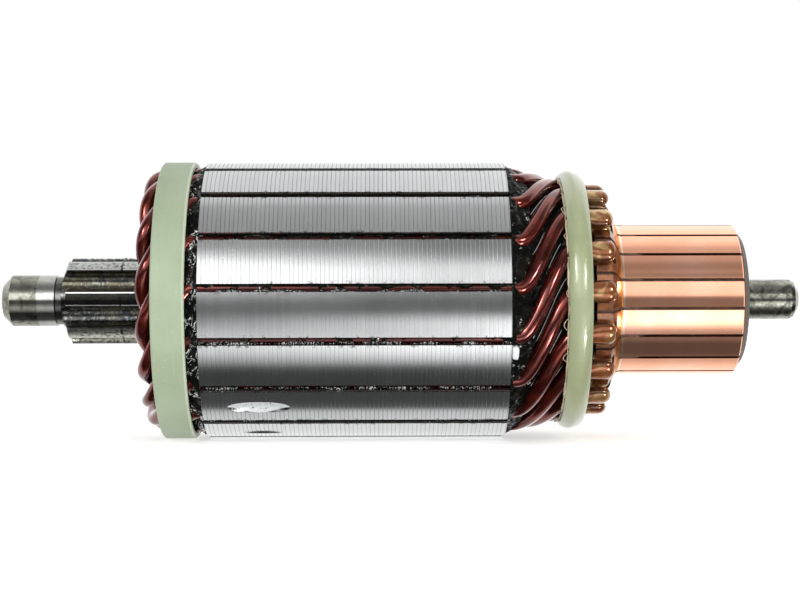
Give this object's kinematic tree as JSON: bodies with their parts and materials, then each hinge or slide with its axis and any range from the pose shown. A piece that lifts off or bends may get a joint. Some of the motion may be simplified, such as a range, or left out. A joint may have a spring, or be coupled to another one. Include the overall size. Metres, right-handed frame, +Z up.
{
  "type": "motor armature",
  "caption": "Wound armature of a four-pole starter motor: slotted core, wave winding, banding rings, copper commutator and a shaft with a cut pinion.",
  "frame": {"origin": "middle of the drive-end journal wall, on the shaft line", "axes": "+X along the shaft towards the commutator end, +Z up with the first slot 4.8 degrees above the -Y side"},
  "size_m": [0.1583, 0.055, 0.055],
  "materials": {
    "shaft_steel": "ground journals, blackened pinion teeth",
    "core_steel": "ground lamination edges",
    "core_insulation": "black, varnished",
    "slot_insulation": "dark, varnished",
    "enamelled_wire": "copper under glossy red-brown enamel",
    "flat_banding": "pale green glass-fibre band, matt",
    "round_banding": "pale green glass-fibre band, varnished",
    "bar_copper": "turned copper",
    "mica": "cut back under the brush track",
    "hub_resin": "moulded, grey",
    "bush_steel": "plain"
  },
  "bodies": {
    "root": {"shaft": "shaft_steel", "lamination_stack": "core_steel", "drive_end_insulator": "core_insulation", "commutator_end_insulator": "core_insulation", "slot_liners": "slot_insulation", "drive_end_layer_sleeve": "slot_insulation", "commutator_end_layer_sleeve": "slot_insulation", "coil_01": "enamelled_wire", "coil_02": "enamelled_wire", "coil_03": "enamelled_wire", "coil_04": "enamelled_wire", "coil_05": "enamelled_wire", "coil_06": "enamelled_wire", "coil_07": "enamelled_wire", "coil_08": "enamelled_wire", "coil_09": "enamelled_wire", "coil_10": "enamelled_wire", "coil_11": "enamelled_wire", "coil_12": "enamelled_wire", "coil_13": "enamelled_wire", "coil_14": "enamelled_wire", "coil_15": "enamelled_wire", "coil_16": "enamelled_wire", "coil_17": "enamelled_wire", "drive_end_band": "flat_banding", "commutator_end_band": "round_banding", "commutator_bar_01": "bar_copper", "commutator_bar_02": "bar_copper", "commutator_bar_03": "bar_copper", "commutator_bar_04": "bar_copper", "commutator_bar_05": "bar_copper", "commutator_bar_06": "bar_copper", "commutator_bar_07": "bar_copper", "commutator_bar_08": "bar_copper", "commutator_bar_09": "bar_copper", "commutator_bar_10": "bar_copper", "commutator_bar_11": "bar_copper", "commutator_bar_12": "bar_copper", "commutator_bar_13": "bar_copper", "commutator_bar_14": "bar_copper", "commutator_bar_15": "bar_copper", "commutator_bar_16": "bar_copper", "commutator_bar_17": "bar_copper", "bar_insulation": "mica", "commutator_hub": "hub_resin", "commutator_bush": "bush_steel"}
  },
  "joints": []
}
